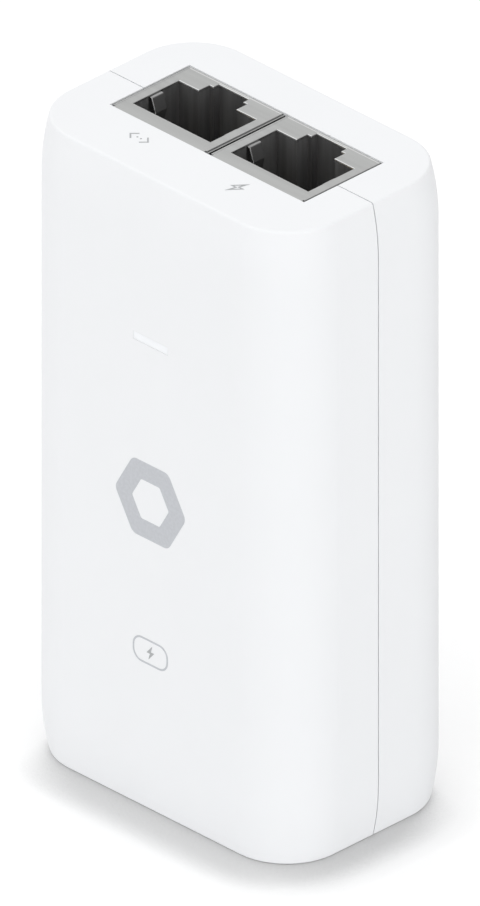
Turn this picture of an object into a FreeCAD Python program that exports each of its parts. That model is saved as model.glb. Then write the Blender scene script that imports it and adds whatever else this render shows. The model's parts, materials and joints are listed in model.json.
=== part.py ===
"""Power-over-Ethernet injector: a two-piece tapered case with two modular jacks and a mains inlet.

Millimetres, +Z up.  The wide front face looks along -Y, the jacks open upwards, the mains inlet
opens downwards, and the origin is the centre of the base.
"""
import FreeCAD, Part
import math
import os

Vec = FreeCAD.Vector

# Case
WIDTH = 46.6
DEPTH = 30.7
HEIGHT = 87.0
CORNER_RADIUS = 8.8
TAPER_RUN = 7.5
TAPER_INSET = 0.95
TAPER_RADIUS = (TAPER_RUN ** 2 + TAPER_INSET ** 2) / (2 * TAPER_INSET)
EDGE_ROUND = 0.4
WALL = 2.0
SEAM_Y = 0.1
SEAM_GAP = 0.15
LIP_INSET = 1.1
LIP_DEPTH = 1.5
LIP_CLEARANCE = 0.1
INNER_X = WIDTH / 2 - WALL
INNER_Y = DEPTH / 2 - WALL

# Light bar in the front face
LIGHT_X = 0.3
LIGHT_Z = 65.0
LIGHT_WIDTH = 5.8
LIGHT_HEIGHT = 1.05
LIGHT_FIT = 0.02
LIGHT_SET_BACK = 0.02
LIGHT_REACH = 0.6
LIGHT_FLANGE = (8.5, 1.2, 3.2)
LIGHT_STEM = (3.2, 1.8)

# Rating label in a shallow recess on the back
LABEL_WIDTH = 28.0
LABEL_HEIGHT = 52.0
LABEL_Z = 43.0
LABEL_THICKNESS = 0.12
LABEL_RECESS = 0.15
LABEL_ROUND = 1.5
LABEL_FIT = 0.15

# Jacks
JACK_PITCH = 16.55
JACK_OFFSET = JACK_PITCH / 2
JACK_OPENING = 32.85
JACK_FRONT = -5.55
JACK_BACK = 7.75
JACK_BASE = 70.8
PLATE_TOP = HEIGHT - 0.1
SHEET = 0.25
SHEET_ROUND = 0.1
SHEET_FIT = 0.05
SKIRT = 2.0
PLATE_LEFT = 8.03
PLATE_RIGHT = 7.81
LAP_WIDTH = 0.265
LAP_STEP = 0.18
FOLD_BAND = 0.32
FOLD_GROOVE = 0.16
FOLD_DEPTH = 0.03
TAB_Z = 76.8
TAB_WIDTH = 1.6
TAB_SLOT_FIT = 0.15
TAB_NOTCH = 0.9
JACK_FRONT_FIT = 0.03
JACK_BACK_FIT = 0.08
HOUSING_TOP = PLATE_TOP - SHEET - SHEET_FIT
PEG_X = 5.6
PEG_Z = 79.5
PEG_RADIUS = 1.5
PEG_REACH = 0.5
CAVITY_FLOOR = 74.0
CAVITY_FIT = 0.06
MOUTH_HALF_WIDTH = 6.52
MOUTH_FRONT = -3.25
# The opening from front to back: where each step ends and its half width
MOUTH_STEPS = ((4.47, MOUTH_HALF_WIDTH), (6.28, 3.17), (7.2, 2.5))

# Earth fingers at the sides of each jack; the reaches are measured from the middle of the jack
FINGER_Y = 0.5
FINGER_WIDTH = 1.85
FINGER_THICKNESS = 0.15
FINGER_TOP = PLATE_TOP - 0.26
FINGER_ROOT = MOUTH_HALF_WIDTH - 0.03
FINGER_BEND = 6.12
FINGER_ROUND = 0.2
FINGER_BOW = 5.5
FINGER_BOW_Z = FINGER_TOP - 1.9
FINGER_TIP = 6.1
FINGER_TIP_Z = FINGER_TOP - 4.0
POCKET_X = (5.0, 7.3)
POCKET_BASE = 79.9
POCKET_FIT = 0.2

# Contact wires of each jack
CONTACTS = 8
CONTACT_PITCH = 1.016
CONTACT_WIDTH = 0.36
CONTACT_THICKNESS = 0.3
CONTACT_PIVOT_Y = -4.35
CONTACT_PIVOT_Z = 83.75
CONTACT_KNUCKLE = 0.2
CONTACT_LENGTH = 9.0
CONTACT_ANGLE = 20.0
CONTACT_SLOT = 0.62
CONTACT_SLOT_TOP = 84.5
TAIL_Y = -5.1
TAIL_ROWS = (72.3, 73.7)
TAIL_GAP = 0.1
TAIL_HOLE = 0.36

# Circuit board
BOARD_FRONT = -7.45
BOARD_BACK = -5.85
BOARD_HALF_WIDTH = 19.5
BOARD_BOTTOM = 22.5
BOARD_TOP = 83.5
LEAD_RADIUS = 0.4
LEAD_END = BOARD_FRONT - 0.8
HOLE_CLEARANCE = 0.1
STAND_OFF = 0.2
POST_X = 19.0
POST_HEIGHT = 2.0
POST_LEVELS = (24.5, 66.5)
POST_FIT = 0.05
POST_SIDE_FIT = 0.15
BARRIER_SIZE = (34.0, 0.4, 24.0)
BARRIER_Z = 35.0
BARRIER_GAP = 0.25

# Mains inlet
INLET_WIDTH = 27.6
INLET_DEPTH = 19.8
INLET_BEVEL = 5.6
INLET_WALL = 1.6
INLET_MOUTH = 0.2
INLET_FLOOR = 17.2
INLET_TOP = 20.0
INLET_FIT = 0.1
FLANGE_RIM = 1.7
FLANGE_BOTTOM = WALL + 0.05
FLANGE_TOP = FLANGE_BOTTOM + 1.5
BLADE_WIDTH = 2.0
BLADE_DEPTH = 4.0
BLADE_ROUND = 0.6
BLADE_END = INLET_TOP + 0.5
PIN_TAIL = 1.0
PIN_HOLE = 1.3
# Each blade: plan position, height of its tip and height of its tail at the board
INLET_BLADES = {
    "line": (7.0, -2.0, 3.4, 26.0),
    "neutral": (-7.0, -2.0, 3.4, 26.0),
    "earth": (0.0, 2.0, 2.4, 27.5),
}

# Mains stage: places on the board are (x, z), and a size is (x, y, z)
FUSE_AT = (13.6, 28.0)
FUSE_RADIUS = 4.2
FUSE_HEIGHT = 8.0
LEAD_PITCH = 5.0
VARISTOR_CENTRE = (-13.6, 0.4, 28.0)
VARISTOR_RADIUS = 4.5
VARISTOR_THICKNESS = 3.4
Y_CAPACITOR_CENTRE = (16.6, 0.0, 63.4)
Y_CAPACITOR_RADIUS = 3.6
Y_CAPACITOR_THICKNESS = 2.6
X_CAPACITOR_AT = (-12.0, 34.4)
X_CAPACITOR_SIZE = (13.0, 11.25, 6.0)
X_CAPACITOR_PITCH = 10.0
CHOKE_AT = (3.5, 39.2)
CHOKE_CORE_RADII = (3.0, 6.0)
CHOKE_CORE_Y = (-4.4, 0.6)
CHOKE_COIL_RADII = (2.2, 6.8)
CHOKE_COIL_Y = (-5.2, 1.4)
CHOKE_FIT = 0.05
CHOKE_LEADS = (4.0, 3.6)
CHOKE_GAP = (0.9, 2.6)
BRIDGE_AT = (-0.4, 50.2)
BRIDGE_SIZE = (8.4, 3.2, 6.2)
BRIDGE_PITCH = 5.1
BULK_AT = (-12.2, 45.0)
BULK_RADIUS = 6.25
BULK_HEIGHT = 15.6
OPTOCOUPLER_AT = (8.2, 50.2)
OPTOCOUPLER_SIZE = (4.6, 3.4, 6.2)
CHIP_PITCH = 2.54

# Switching transistor clamped to its heat sink
SCREW_Y = 6.0
SCREW_Z = 46.0
SCREW_RADIUS = 1.25
SCREW_HEAD = 2.8
SCREW_END = 19.8
TRANSISTOR_X = (13.2, 17.65)
TRANSISTOR_Y = (-1.5, 9.5)
TRANSISTOR_HEIGHT = 10.0
TRANSISTOR_BORE = 1.65
TRANSISTOR_LEADS_X = 15.6
SINK_X = (17.7, 19.0)
SINK_Z = (37.5, 56.0)
SINK_BACK = 10.0
SINK_LIP = (3.2, 1.1, 4.0)
SINK_BORE = 1.3
SINK_TABS = (40.0, 53.5)
SINK_TAB_WIDTH = 2.0

# Transformer
CORE_CENTRE = (5.5, 2.9, 61.5)
CORE_SIZE = (14.4, 15.6, 4.8)
CORE_LEG = 4.0
CORE_BACK = 2.0
CORE_OUTER_LEG = 2.0
CORE_AIR_GAP = 0.04
BOBBIN_LENGTH = CORE_SIZE[0] - 2 * CORE_BACK - 0.2
BOBBIN_WALL = 0.9
BOBBIN_FIT = 0.2
BOBBIN_FLANGE = (1.0, 11.2, 13.0)
BOBBIN_FOOT = (2.0, 3.0)
BOBBIN_FOOT_Z = 4.9
WINDING_SIZE = (8.6, 9.8)
WINDING_ROUND = 2.0
TAPE = 0.25

# Output stage
DIODE_CENTRE = (-6.9, -2.9, 56.6)
DIODE_RADIUS = 2.3
DIODE_LENGTH = 7.0
DIODE_LEAD = 0.5
DIODE_PITCH = 8.4
OUTPUT_CAPACITOR_X = -14.9
OUTPUT_CAPACITOR_Z = (57.2, 65.8)
OUTPUT_CAPACITOR_RADIUS = 4.0
OUTPUT_CAPACITOR_HEIGHT = 12.0
OUTPUT_CAPACITOR_PITCH = 3.5
DRUM_AT = (-6.7, 66.0)
DRUM_RADII = (1.6, 3.4)
DRUM_COIL_RADIUS = 3.0
DRUM_BASE = BOARD_BACK + 0.3
DRUM_LENGTH = 7.0
DRUM_FLANGE = 1.0
LAN_TRANSFORMER_Z = 78.7
LAN_TRANSFORMER_SIZE = (7.0, 4.6, 6.6)
LAN_LEADS = 6
LAN_PITCH = 1.1
CONTROLLER_AT = (-11.2, 62.5)
CONTROLLER_SIZE = (5.0, 1.5, 3.9)
CONTROLLER_LEADS = 4
CONTROLLER_PITCH = 1.27
CHIP_FOOT = (0.4, 0.6, 1.2)
LED_SIZE = (3.0, 0.8, 1.4)

board_holes = []


def box(x0, x1, y0, y1, z0, z1):
    """Box between two corners given in any order."""
    low = Vec(min(x0, x1), min(y0, y1), min(z0, z1))
    return Part.makeBox(abs(x1 - x0), abs(y1 - y0), abs(z1 - z0), low)


def block(centre, size):
    """Box given by its centre and its three side lengths."""
    low = Vec(*(c - s / 2 for c, s in zip(centre, size)))
    return Part.makeBox(*size, low)


def rod(start, end, radius):
    """Cylinder running between two points."""
    axis = Vec(*end) - Vec(*start)
    return Part.makeCylinder(radius, axis.Length, Vec(*start), axis)


def prism(points, direction):
    """Solid swept from a closed polygon along a straight direction."""
    corners = [Vec(*point) for point in points]
    outline = Part.makePolygon(corners + corners[:1])
    return Part.Face(outline).extrude(Vec(*direction))


def joined(shapes):
    """One clean solid from shapes that touch or overlap."""
    return shapes[0].fuse(shapes[1:]).removeSplitter()


def rounded_edges(shape, radius, chosen):
    """Fillet the edges that the test picks."""
    return shape.makeFillet(radius, [edge for edge in shape.Edges if chosen(edge)])


def runs_along(edge, axis):
    """True for a straight edge parallel to the axis."""
    ends = edge.Vertexes
    if len(ends) != 2 or edge.Curve.TypeId != "Part::GeomLine":
        return False
    return abs((ends[1].Point - ends[0].Point).normalize().dot(Vec(*axis))) > 0.999


def drill(x, z, radius):
    """Note one clearance hole to be drilled through the board."""
    board_holes.append(rod((x, -4, z), (x, -10, z), radius))


def wall_profile(inset):
    """Side wall from base to top in the XZ plane, x = 0 on the outer face, and its top width."""
    centre = Vec(-TAPER_RADIUS, 0, HEIGHT - TAPER_RUN)
    radius = TAPER_RADIUS - inset
    flat_z = HEIGHT - inset
    round_z = flat_z - EDGE_ROUND
    reach = math.sqrt((radius - EDGE_ROUND) ** 2 - (round_z - centre.z) ** 2)
    round_centre = Vec(reach - TAPER_RADIUS, 0, round_z)
    outward = (round_centre - centre).normalize()
    half_angle = math.atan2(outward.z, outward.x) / 2
    start = Vec(-inset, 0, centre.z)
    middle = centre + Vec(math.cos(half_angle), 0, math.sin(half_angle)) * radius
    end = centre + outward * radius
    round_middle = round_centre + (outward + Vec(0, 0, 1)).normalize() * EDGE_ROUND
    round_end = Vec(round_centre.x, 0, flat_z)
    upper = [
        Part.Arc(start, middle, end).toShape(),
        Part.Arc(end, round_middle, round_end).toShape(),
    ]
    lower = [edge.mirror(Vec(0, 0, HEIGHT / 2), Vec(0, 0, 1)) for edge in upper]
    straight = Part.makeLine(Vec(-inset, 0, TAPER_RUN), start)
    return lower + [straight] + upper, round_centre.x


def case_corners():
    """Axis of each vertical corner, with the length of the flat side that follows it."""
    half_x = WIDTH / 2 - CORNER_RADIUS
    half_y = DEPTH / 2 - CORNER_RADIUS
    signs = ((1, 1), (-1, 1), (-1, -1), (1, -1))
    runs = (2 * half_x, 2 * half_y) * 2
    return [(Vec(half_x * sx, half_y * sy, 0), run) for (sx, sy), run in zip(signs, runs)]


def case_cap(radius, z):
    """Flat end face of the case at one height."""
    edges = []
    for quarter, (centre, run) in enumerate(case_corners()):
        angles = [math.radians(90 * quarter + step) for step in (0, 45, 90, 180)]
        turned = [Vec(math.cos(angle), math.sin(angle), 0) for angle in angles]
        arc = [centre + Vec(0, 0, z) + direction * radius for direction in turned[:3]]
        edges.append(Part.Arc(*arc).toShape())
        edges.append(Part.makeLine(arc[2], arc[2] + turned[3] * run))
    return Part.Face(Part.Wire(Part.__sortEdges__(edges)))


def case_body(inset):
    """Solid inside the case wall, offset inwards from the outer face by the inset."""
    profile, top_shift = wall_profile(inset)
    up = Vec(0, 0, 1)
    faces = []
    for quarter, (centre, run) in enumerate(case_corners()):
        for edge in profile:
            placed = edge.copy()
            placed.translate(Vec(CORNER_RADIUS, 0, 0))
            placed.rotate(Vec(), up, 90 * quarter)
            corner = placed.revolve(Vec(), up, 90)
            corner.translate(centre)
            faces.append(corner)
            placed.rotate(Vec(), up, 90)
            placed.translate(centre)
            angle = math.radians(90 * (quarter + 2))
            faces.append(placed.extrude(Vec(math.cos(angle), math.sin(angle), 0) * run))
    cap_radius = CORNER_RADIUS + top_shift
    faces.append(case_cap(cap_radius, inset))
    faces.append(case_cap(cap_radius, HEIGHT - inset))
    shell = Part.Compound(faces)
    shell.sewShape()
    solid = Part.makeSolid(shell.Shells[0])
    if solid.Volume < 0:
        solid.reverse()
    return solid


def inlet_outline(margin, z):
    """Inlet outline grown by a margin: a rectangle with the two rear corners bevelled."""
    half_x = INLET_WIDTH / 2 + margin
    half_y = INLET_DEPTH / 2 + margin
    bevel = INLET_BEVEL + 0.6 * margin
    return [
        (-half_x, -half_y, z),
        (half_x, -half_y, z),
        (half_x, half_y - bevel, z),
        (half_x - bevel, half_y, z),
        (-half_x + bevel, half_y, z),
        (-half_x, half_y - bevel, z),
    ]


def case_openings():
    """Everything that pierces both case halves."""
    jacks = box(-JACK_OPENING / 2, JACK_OPENING / 2, JACK_FRONT - JACK_FRONT_FIT,
                JACK_BACK + JACK_BACK_FIT, HEIGHT - 2 * WALL, HEIGHT + 1)
    inlet = prism(inlet_outline(INLET_FIT, -1), (0, 0, 5))
    return [jacks, inlet]


def board_posts(front, back, root, half_width):
    """Four posts that hold the board edges, rooted in the case wall."""
    posts = []
    for side in (-1, 1):
        for z in POST_LEVELS:
            top = z + POST_HEIGHT
            posts.append(box(side * POST_X, side * half_width, front, back, z, top))
            posts.append(box(side * POST_X, side * (INNER_X + 1), root, back, z, top))
    return posts


def front_cover():
    """Front half of the case with the inner lip, the light slot and the front board posts."""
    shell = case_body(0).cut(case_body(WALL))
    half = shell.common(box(-50, 50, -50, SEAM_Y - SEAM_GAP / 2, -5, HEIGHT + 5))
    lip = case_body(LIP_INSET).cut(case_body(WALL))
    lip = lip.common(box(-50, 50, SEAM_Y - 1, SEAM_Y + LIP_DEPTH, -5, HEIGHT + 5))
    board_face = BOARD_FRONT - POST_FIT
    posts = board_posts(board_face, -INNER_Y - 1, board_face, INNER_X)
    inside = case_body(WALL / 2)
    cover = joined([half, lip] + [post.common(inside) for post in posts])
    slot_size = (LIGHT_WIDTH + 2 * LIGHT_FIT, 10, LIGHT_HEIGHT + 2 * LIGHT_FIT)
    slot = block((LIGHT_X, -DEPTH / 2, LIGHT_Z), slot_size)
    return cover.cut(case_openings() + [slot])


def rear_cover():
    """Rear half of the case with the rebate for the lip, the label recess and its posts."""
    shell = case_body(0).cut(case_body(WALL))
    half = shell.common(box(-50, 50, SEAM_Y + SEAM_GAP / 2, 50, -5, HEIGHT + 5))
    rebate_end = SEAM_Y + LIP_DEPTH + LIP_CLEARANCE
    rebate = case_body(LIP_INSET - LIP_CLEARANCE)
    rebate = rebate.common(box(-50, 50, -50, rebate_end, -5, HEIGHT + 5))
    posts = board_posts(BOARD_BACK + POST_FIT, INNER_Y + 1, rebate_end + 0.2,
                        INNER_X - POST_SIDE_FIT)
    inside = case_body(WALL / 2)
    cover = joined([half.cut(rebate)] + [post.common(inside) for post in posts])
    recess_size = (LABEL_WIDTH + 2 * LABEL_FIT, 2 * LABEL_RECESS, LABEL_HEIGHT + 2 * LABEL_FIT)
    recess = block((0, DEPTH / 2, LABEL_Z), recess_size)
    return cover.cut(case_openings() + [recess])


def light_pipe():
    """Clear bar flush with the front face, with a flange behind the wall and a stem to the lamp."""
    wall_back = WALL - DEPTH / 2
    bar = box(LIGHT_X - LIGHT_WIDTH / 2, LIGHT_X + LIGHT_WIDTH / 2, LIGHT_SET_BACK - DEPTH / 2,
              wall_back + LIGHT_REACH, LIGHT_Z - LIGHT_HEIGHT / 2, LIGHT_Z + LIGHT_HEIGHT / 2)
    flange = block((LIGHT_X, wall_back + LIGHT_REACH + 0.05, LIGHT_Z), LIGHT_FLANGE)
    stem_width, stem_height = LIGHT_STEM
    stem = box(LIGHT_X - stem_width / 2, LIGHT_X + stem_width / 2, wall_back + LIGHT_REACH,
               BOARD_FRONT - LED_SIZE[1] - 0.3, LIGHT_Z - stem_height / 2,
               LIGHT_Z + stem_height / 2)
    return joined([bar, flange, stem])


def rating_label():
    """Blank adhesive label with rounded corners."""
    surface = DEPTH / 2 - LABEL_RECESS
    sheet = box(-LABEL_WIDTH / 2, LABEL_WIDTH / 2, surface, surface + LABEL_THICKNESS,
                LABEL_Z - LABEL_HEIGHT / 2, LABEL_Z + LABEL_HEIGHT / 2)
    return rounded_edges(sheet, LABEL_ROUND, lambda edge: runs_along(edge, (0, 1, 0)))


def jack_mouth(x, margin, z0, z1):
    """Stepped plug opening with its latch keyway on the rear side."""
    y = MOUTH_FRONT - margin
    right = []
    for step_y, step_half in MOUTH_STEPS:
        right.append((step_half + margin, y))
        y = step_y + margin
        right.append((step_half + margin, y))
    outline = right + [(-px, py) for px, py in reversed(right)]
    return prism([(x + px, py, z0) for px, py in outline], (0, 0, z1 - z0))


def is_mouth_rim(edge, x):
    """True for an edge of the plug opening on the outer face of the mouth plate."""
    middle = edge.CenterOfMass
    if middle.z < PLATE_TOP - 0.01 or abs(middle.x - x) > MOUTH_HALF_WIDTH + 0.01:
        return False
    return JACK_FRONT + 1 < middle.y < MOUTH_STEPS[-1][0] + 0.01


def jack_shield(x):
    """Folded sheet shield: mouth plate with its fold lines, sides, rear and base, open in front.

    The right wall is lapped outside the mouth plate and stops a step below its face.
    """
    left = x - PLATE_LEFT
    right = x + PLATE_RIGHT
    lap_face = right + LAP_WIDTH
    outer = box(left, right, JACK_FRONT, JACK_BACK, JACK_BASE, PLATE_TOP)
    outer = rounded_edges(outer, SHEET_ROUND, lambda edge: edge.CenterOfMass.z > PLATE_TOP - 0.01)
    lap = box(right - SHEET, lap_face, JACK_FRONT, JACK_BACK, JACK_BASE, PLATE_TOP - LAP_STEP)
    inner = box(left + SHEET, right - SHEET, JACK_FRONT + SHEET, JACK_BACK - SHEET,
                JACK_BASE + SHEET, PLATE_TOP - SHEET)
    board_side = box(left + SHEET, right - SHEET, JACK_FRONT - 1, JACK_FRONT + 1,
                     JACK_BASE - 1, PLATE_TOP - SKIRT)
    cuts = [inner, board_side, jack_mouth(x, 0, PLATE_TOP - 1, PLATE_TOP + 1)]
    tabs = []
    for face, inwards in ((left, SHEET), (lap_face, -SHEET)):
        cuts.append(block((face, JACK_FRONT, PLATE_TOP), (TAB_NOTCH, TAB_NOTCH, 1)))
        tabs.append(box(face, face + inwards, LEAD_END, JACK_FRONT + 1,
                        TAB_Z - TAB_WIDTH / 2, TAB_Z + TAB_WIDTH / 2))
        slot = (SHEET + 2 * TAB_SLOT_FIT, 5, TAB_WIDTH + 2 * TAB_SLOT_FIT)
        board_holes.append(block((face + inwards / 2, BOARD_FRONT, TAB_Z), slot))
    fold_x = left + FOLD_BAND
    fold_y = JACK_BACK - FOLD_BAND
    cuts.append(fold_line((fold_x, JACK_FRONT - 1), (fold_x, fold_y)))
    cuts.append(fold_line((fold_x, fold_y), (right + 1, fold_y)))
    shell = outer.fuse(lap).cut(cuts)
    shell = rounded_edges(shell, SHEET_ROUND, lambda edge: is_mouth_rim(edge, x))
    return joined([shell] + tabs)


def fold_line(start, end):
    """Shallow V-shaped line pressed into the mouth plate along a fold, between two points."""
    run = Vec(*end, 0) - Vec(*start, 0)
    across = Vec(-run.y, run.x, 0).normalize() * FOLD_GROOVE
    upper = Vec(*start, PLATE_TOP + FOLD_DEPTH)
    lower = Vec(*start, PLATE_TOP - FOLD_DEPTH)
    return prism([upper - across, lower, upper + across], run)


def contact_columns(x):
    """Centre line of each contact wire across the jack."""
    first = x - CONTACT_PITCH * (CONTACTS - 1) / 2
    return [first + CONTACT_PITCH * index for index in range(CONTACTS)]


def jack_housing(x):
    """Plastic insert with the plug cavity, finger pockets, contact slots and two board pegs."""
    fit = SHEET + SHEET_FIT
    left = x - PLATE_LEFT + fit
    right = x + PLATE_RIGHT - fit
    body = box(left, right, JACK_FRONT + SHEET_FIT, JACK_BACK - fit, JACK_BASE + fit, HOUSING_TOP)
    cuts = [jack_mouth(x, CAVITY_FIT, CAVITY_FLOOR, HEIGHT)]
    cuts.append(box(left - 1, right + 1, JACK_FRONT - 1, JACK_FRONT + fit,
                    PLATE_TOP - SKIRT - 0.1, HEIGHT))
    pegs = []
    pocket_y = FINGER_WIDTH / 2 + POCKET_FIT
    for side in (-1, 1):
        peg_x = x + side * PEG_X
        pegs.append(rod((peg_x, JACK_FRONT + 1, PEG_Z), (peg_x, BOARD_FRONT - PEG_REACH, PEG_Z),
                        PEG_RADIUS))
        drill(peg_x, PEG_Z, PEG_RADIUS + HOLE_CLEARANCE)
        near, far = (x + side * reach for reach in POCKET_X)
        cuts.append(box(near, far, FINGER_Y - pocket_y, FINGER_Y + pocket_y, POCKET_BASE, HEIGHT))
    for column in contact_columns(x):
        cuts.append(box(column - CONTACT_SLOT / 2, column + CONTACT_SLOT / 2, JACK_FRONT - 1,
                        MOUTH_FRONT + 0.2, TAIL_ROWS[0] - 0.3, CONTACT_SLOT_TOP))
    return joined([body] + pegs).cut(cuts)


def earth_finger(x, side):
    """Sprung strip from the edge of the plug opening, turned down and bowed towards the plug."""
    thick = FINGER_THICKNESS
    path = [(FINGER_BEND, FINGER_TOP), (FINGER_BOW, FINGER_BOW_Z), (FINGER_TIP, FINGER_TIP_Z)]
    back = [(FINGER_TIP + thick, FINGER_TIP_Z), (FINGER_BOW + thick, FINGER_BOW_Z),
            (FINGER_BEND + thick, FINGER_TOP - thick), (FINGER_ROOT, FINGER_TOP - thick)]
    front = FINGER_Y - FINGER_WIDTH / 2
    outline = [(FINGER_ROOT, FINGER_TOP)] + path + back
    strip = prism([(x + side * reach, front, z) for reach, z in outline], (0, FINGER_WIDTH, 0))
    bend = Vec(x + side * FINGER_BEND, FINGER_Y, FINGER_TOP)
    return rounded_edges(strip, FINGER_ROUND, lambda edge: edge.CenterOfMass.isEqual(bend, 0.01))


def contact_spring(column):
    """Free part of one contact wire, sloping from its bend into the plug cavity."""
    x0 = column - CONTACT_WIDTH / 2
    bend = (CONTACT_PIVOT_Y, CONTACT_PIVOT_Z)
    knuckle = rod((x0, *bend), (x0 + CONTACT_WIDTH, *bend), CONTACT_KNUCKLE)
    half = CONTACT_THICKNESS / 2
    strip = box(x0, x0 + CONTACT_WIDTH, bend[0] - half, bend[0] + half,
                bend[1] - CONTACT_LENGTH, bend[1])
    strip.rotate(Vec(0, *bend), Vec(1, 0, 0), CONTACT_ANGLE)
    return joined([knuckle, strip])


def contact_tail(column, tail_z):
    """Fixed part of one contact wire, from the hook at the bend down to its board pin."""
    x0 = column - CONTACT_WIDTH / 2
    x1 = column + CONTACT_WIDTH / 2
    hook_z = CONTACT_PIVOT_Z + CONTACT_KNUCKLE + TAIL_GAP
    thick = CONTACT_THICKNESS
    run = box(x0, x1, TAIL_Y, TAIL_Y + thick, tail_z, hook_z + thick)
    hook = box(x0, x1, TAIL_Y, CONTACT_PIVOT_Y, hook_z, hook_z + thick)
    pin = box(x0, x1, LEAD_END, TAIL_Y + thick, tail_z, tail_z + CONTACT_WIDTH)
    drill(column, tail_z + CONTACT_WIDTH / 2, TAIL_HOLE)
    return joined([run, hook, pin])


def inlet_housing():
    """Mains inlet shroud with its retaining flange and plug cavity."""
    tube = prism(inlet_outline(0, INLET_MOUTH), (0, 0, INLET_TOP - INLET_MOUTH))
    flange = prism(inlet_outline(FLANGE_RIM, FLANGE_BOTTOM), (0, 0, FLANGE_TOP - FLANGE_BOTTOM))
    flange = flange.common(case_body(WALL + 0.1))
    cavity = prism(inlet_outline(-INLET_WALL, -1), (0, 0, INLET_FLOOR + 1))
    blades = [inlet_pin(*blade) for blade in INLET_BLADES.values()]
    return joined([tube, flange]).cut([cavity] + blades)


def inlet_pin(x, y, tip, tail_z):
    """Blade with rounded tip, carried on through the shroud and bent over into the board."""
    blade = box(x - BLADE_WIDTH / 2, x + BLADE_WIDTH / 2, y - BLADE_DEPTH / 2,
                y + BLADE_DEPTH / 2, tip, BLADE_END)
    blade = rounded_edges(blade, BLADE_ROUND, lambda edge: edge.CenterOfMass.z < tip + 0.01)
    half = PIN_TAIL / 2
    riser = box(x - half, x + half, y - half, y + half, INLET_TOP - half, tail_z + half)
    reach = box(x - half, x + half, LEAD_END, y + half, tail_z - half, tail_z + half)
    return joined([blade, riser, reach])


def with_leads(body, spots, top, radius=LEAD_RADIUS):
    """Add round leads from a height above the board down through it, and note their holes."""
    leads = [rod((x, top, z), (x, LEAD_END, z), radius) for x, z in spots]
    for x, z in spots:
        drill(x, z, radius + HOLE_CLEARANCE)
    return joined([body] + leads)


def can(place, radius, height):
    """Upright round body standing off the board, with a rounded outer end."""
    x, z = place
    base = BOARD_BACK + STAND_OFF
    body = rod((x, base, z), (x, base + height, z), radius)
    return rounded_edges(body, 0.5, lambda edge: edge.CenterOfMass.y > base + height - 0.01)


def electrolytic(place, radius, height, pitch):
    """Electrolytic capacitor with the crimp groove near its seal."""
    x, z = place
    groove = Part.makeTorus(radius + 0.25, 0.6, Vec(x, BOARD_BACK + 2.2, z), Vec(0, 1, 0))
    spots = [(x, z - pitch / 2), (x, z + pitch / 2)]
    return with_leads(can(place, radius, height).cut(groove), spots, BOARD_BACK + 1)


def fuse():
    """Radial fuse in a round moulded case."""
    x, z = FUSE_AT
    spots = [(x - LEAD_PITCH / 2, z), (x + LEAD_PITCH / 2, z)]
    return with_leads(can(FUSE_AT, FUSE_RADIUS, FUSE_HEIGHT), spots, BOARD_BACK + 1)


def disc_part(centre, radius, thickness, axis):
    """Coated disc component on two leads."""
    along = Vec(*axis)
    start = Vec(*centre) - along * (thickness / 2)
    disc = Part.makeCylinder(radius, thickness, start, along)
    disc = disc.makeFillet(min(1.0, thickness / 2.5), disc.Edges)
    across = Vec(1, 0, 0) if axis[2] else Vec(0, 0, 1)
    x, y, z = centre
    spots = [(x + across.x * d, z + across.z * d) for d in (-LEAD_PITCH / 2, LEAD_PITCH / 2)]
    return with_leads(disc, spots, y - radius * 0.4)


def film_capacitor():
    """Boxed suppression capacitor across the mains."""
    x, z = X_CAPACITOR_AT
    depth = X_CAPACITOR_SIZE[1]
    case = block((x, BOARD_BACK + STAND_OFF + depth / 2, z), X_CAPACITOR_SIZE)
    top = BOARD_BACK + STAND_OFF + depth
    case = rounded_edges(case, 0.5, lambda edge: edge.CenterOfMass.y > top - 0.1)
    spots = [(x - X_CAPACITOR_PITCH / 2, z), (x + X_CAPACITOR_PITCH / 2, z)]
    return with_leads(case, spots, BOARD_BACK + 1)


def ring(place, radii, y0, y1):
    """Flat ring with its axis along Y."""
    x, z = place
    return rod((x, y0, z), (x, y1, z), radii[1]).cut(rod((x, y0, z), (x, y1, z), radii[0]))


def choke_core():
    """Ferrite ring of the common-mode choke."""
    core = ring(CHOKE_AT, CHOKE_CORE_RADII, *CHOKE_CORE_Y)
    return core.makeFillet(0.4, core.Edges)


def choke_winding(side):
    """One half winding wrapped round the ring, with its two leads."""
    x, z = CHOKE_AT
    near, far = CHOKE_GAP
    reach = CHOKE_COIL_RADII[1] + 1
    start = CHOKE_COIL_Y[0] - 1
    wedge = [(x, start, z + side * near), (x + reach, start, z + side * far),
             (x + reach, start, z + side * reach), (x - reach, start, z + side * reach),
             (x - reach, start, z + side * far)]
    coil = ring(CHOKE_AT, CHOKE_COIL_RADII, *CHOKE_COIL_Y)
    half = coil.common(prism(wedge, (0, CHOKE_COIL_Y[1] - start + 1, 0)))
    inner, outer = CHOKE_CORE_RADII
    room = ring(CHOKE_AT, (inner - CHOKE_FIT, outer + CHOKE_FIT),
                CHOKE_CORE_Y[0] - CHOKE_FIT, CHOKE_CORE_Y[1] + CHOKE_FIT)
    lead_x, lead_z = CHOKE_LEADS
    spots = [(x - lead_x, z + side * lead_z), (x + lead_x, z + side * lead_z)]
    return with_leads(half.cut(room), spots, CHOKE_COIL_Y[0] + 0.2, 0.35)


def moulded_chip(place, size, pitch):
    """Four-lead moulded package on the component side, two leads on each long side."""
    x, z = place
    width, height, length = size
    base = BOARD_BACK + 0.5
    body = block((x, base + height / 2, z), size)
    body = rounded_edges(body, 0.3, lambda edge: edge.CenterOfMass.y > base + height - 0.1)
    spots = []
    for row in (-1, 1):
        for offset in (-pitch / 2, pitch / 2):
            spots.append((x + offset, z + row * (length / 2 + 0.25)))
    return with_leads(body, spots, base + height / 2, 0.3)


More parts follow.
